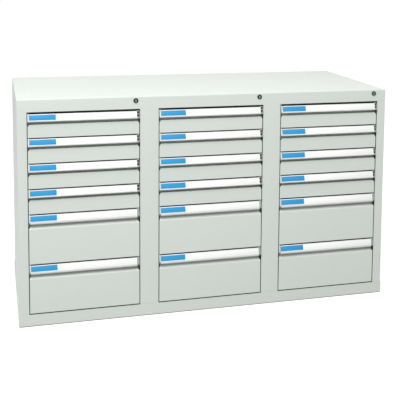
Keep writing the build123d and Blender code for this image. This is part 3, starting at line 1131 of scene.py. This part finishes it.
@dataclass
class Studio:
    """Floor, light and camera: a plain white setting with soft light from the upper left."""

    floor_reach: float = 60.0
    floor_shade: float = 0.36
    floor_shown: float = 0.7
    floor_glow: float = 0.6
    shade_inset: float = 0.003
    sky: float = 0.58
    key_power: float = 199.0
    key_size: float = 2.6
    key_place: tuple[float, float, float] = (-1.35, -2.9, 4.3)
    key_target: tuple[float, float, float] = (0.0, -0.35, 0.9)
    # The camera's place from the lower left corner of the cabinet's front, and its turn in degrees.
    camera_offset: tuple[float, float, float] = (-0.08115, -3.4651, 1.41497)
    heading: float = 16.81
    pitch: float = -6.218
    roll: float = 0.789
    sensor: float = 36.0
    picture: float = 400.0
    focal_px: float = 889.0
    centre_px: tuple[float, float] = (260.0, 64.0)

    def build(self) -> None:
        """Build the whole setting."""
        bpy.context.scene.view_settings.view_transform = "Standard"
        self.make_floor()
        self.make_sky()
        self.make_key()
        self.make_camera()

    def make_floor(self) -> None:
        """A large plain floor that shows white and keeps a faint shadow of the cabinet, with a painted shadow
        under the base frame where its glow fades.
        """
        corners = np.array([[-1, -1, 0], [1, -1, 0], [1, 1, 0], [-1, 1, 0]]) * self.floor_reach
        mesh = bpy.data.meshes.new("floor")
        mesh.from_pydata(corners.tolist(), [], [(0, 1, 2, 3)])
        floor = link("floor", mesh)
        material = bpy.data.materials.new("seamless_paper")
        tree = empty_tree(material)
        plain, shown = (
            add_node(tree, "BsdfDiffuse", {"Color": (shade,) * 3 + (1,)}).outputs[0]
            for shade in (self.floor_shade, self.floor_shown)
        )
        glow = add_node(tree, "Emission", {"Strength": self.glow_with_painted_shadow(tree)}).outputs[0]
        lit = add_node(tree, "AddShader", {0: shown, 1: glow}).outputs[0]
        mix = add_node(tree, "MixShader", {"Fac": self.seen_directly(tree), 1: plain, 2: lit})
        add_node(tree, "OutputMaterial", {"Surface": mix.outputs[0]})
        mesh.materials.append(material)

    def glow_with_painted_shadow(self, tree: NodeTree) -> NodeSocket:
        """The floor's glow: full outside the base frame's outline, and fading to none a little way under it,
        which paints a dark contact shadow under the cabinet.

        Args:
            tree: The node tree to add it to.

        Returns:
            The output socket.
        """
        low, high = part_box("base_frame")
        place = add_node(tree, "TexCoord").outputs["Object"]
        parts = add_node(tree, "SeparateXYZ", {"Vector": place}).outputs
        outside = []
        for axis in range(2):
            centre, half = (low[axis] + high[axis]) / 2, (high[axis] - low[axis]) / 2
            distance = compute(tree, "ABSOLUTE", compute(tree, "SUBTRACT", parts[axis], centre))
            outside.append(compute(tree, "SUBTRACT", distance, half))
        farthest = compute(tree, "MAXIMUM", *outside)
        # The fade under the base frame is a painted contact shadow.
        fade = {"Value": farthest, "From Min": -self.shade_inset, "From Max": 0.0, "To Max": self.floor_glow}
        return add_node(tree, "MapRange", fade).outputs["Result"]

    def seen_directly(self, tree: NodeTree) -> NodeSocket:
        """One for rays that show the background: from the camera, from gloss or through glass.

        Args:
            tree: The node tree to add it to.

        Returns:
            The output socket.
        """
        rays = add_node(tree, "LightPath").outputs
        seen = compute(tree, "MAXIMUM", rays["Is Camera Ray"], rays["Is Glossy Ray"])
        return compute(tree, "MAXIMUM", seen, rays["Is Transmission Ray"])

    def make_sky(self) -> None:
        """White all round: full white where it is seen, and softer as a light."""
        world = bpy.data.worlds.new("white_room")
        bpy.context.scene.world = world
        tree = empty_tree(world)
        seen = {"Value": self.seen_directly(tree), "To Min": self.sky, "To Max": 1.0}
        strength = add_node(tree, "MapRange", seen).outputs["Result"]
        background = add_node(tree, "Background", {"Color": (1, 1, 1, 1), "Strength": strength})
        add_node(tree, "OutputWorld", {"Surface": background.outputs["Background"]})

    def make_key(self) -> None:
        """A large soft lamp above, in front and to the left."""
        data = bpy.data.lights.new("key", "AREA")
        data.energy = self.key_power
        data.size = self.key_size
        lamp = bpy.data.objects.new("key", data)
        bpy.context.scene.collection.objects.link(lamp)
        aim = Vector(self.key_target) - Vector(self.key_place)
        turn = aim.to_track_quat("-Z", "Y").to_matrix().to_4x4()
        lamp.matrix_world = Matrix.Translation(self.key_place) @ turn

    def make_camera(self) -> None:
        """The camera as fitted to the edges of the cabinet in the photograph."""
        data = bpy.data.cameras.new("camera")
        data.sensor_width = self.sensor
        data.lens = self.focal_px / self.picture * self.sensor
        half = self.picture / 2
        data.shift_x = (half - self.centre_px[0]) / self.picture
        data.shift_y = (self.centre_px[1] - half) / self.picture
        camera = bpy.data.objects.new("camera", data)
        bpy.context.scene.collection.objects.link(camera)
        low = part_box("top_cover")[0]
        corner = Vector((low.x, low.y, 0))
        turn = (
            Matrix.Rotation(-radians(self.heading), 4, "Z")
            @ Matrix.Rotation(radians(90 + self.pitch), 4, "X")
            @ Matrix.Rotation(radians(self.roll), 4, "Z")
        )
        camera.matrix_world = Matrix.Translation(corner + Vector(self.camera_offset)) @ turn
        bpy.context.scene.camera = camera


def main() -> None:
    """Build every sub-assembly in order."""
    logging.basicConfig(level=logging.INFO, format="%(name)s: %(message)s")
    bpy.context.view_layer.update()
    finishes = Finishes()
    Carcass(finishes).build()
    LOG.info("carcass built")
    Inside(finishes).build()
    LOG.info("rails and guides built")
    for column in Column:
        Opening(column, finishes).build()
        LOG.info("%s opening seal built", column.value)
        Lock(column, finishes).build()
        LOG.info("%s lock built", column.value)
        for row in Row:
            Drawer(column, row, finishes).build()
            LOG.info("%s drawer %d built", column.value, row.value)
    Studio().build()
    LOG.info("studio built")


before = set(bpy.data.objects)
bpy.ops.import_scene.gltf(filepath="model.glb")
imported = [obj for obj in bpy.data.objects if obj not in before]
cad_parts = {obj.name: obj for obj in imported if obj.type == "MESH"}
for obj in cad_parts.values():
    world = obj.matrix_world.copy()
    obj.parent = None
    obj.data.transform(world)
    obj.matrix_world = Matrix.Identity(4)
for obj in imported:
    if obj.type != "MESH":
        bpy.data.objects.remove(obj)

if __name__ == "__main__":
    main()
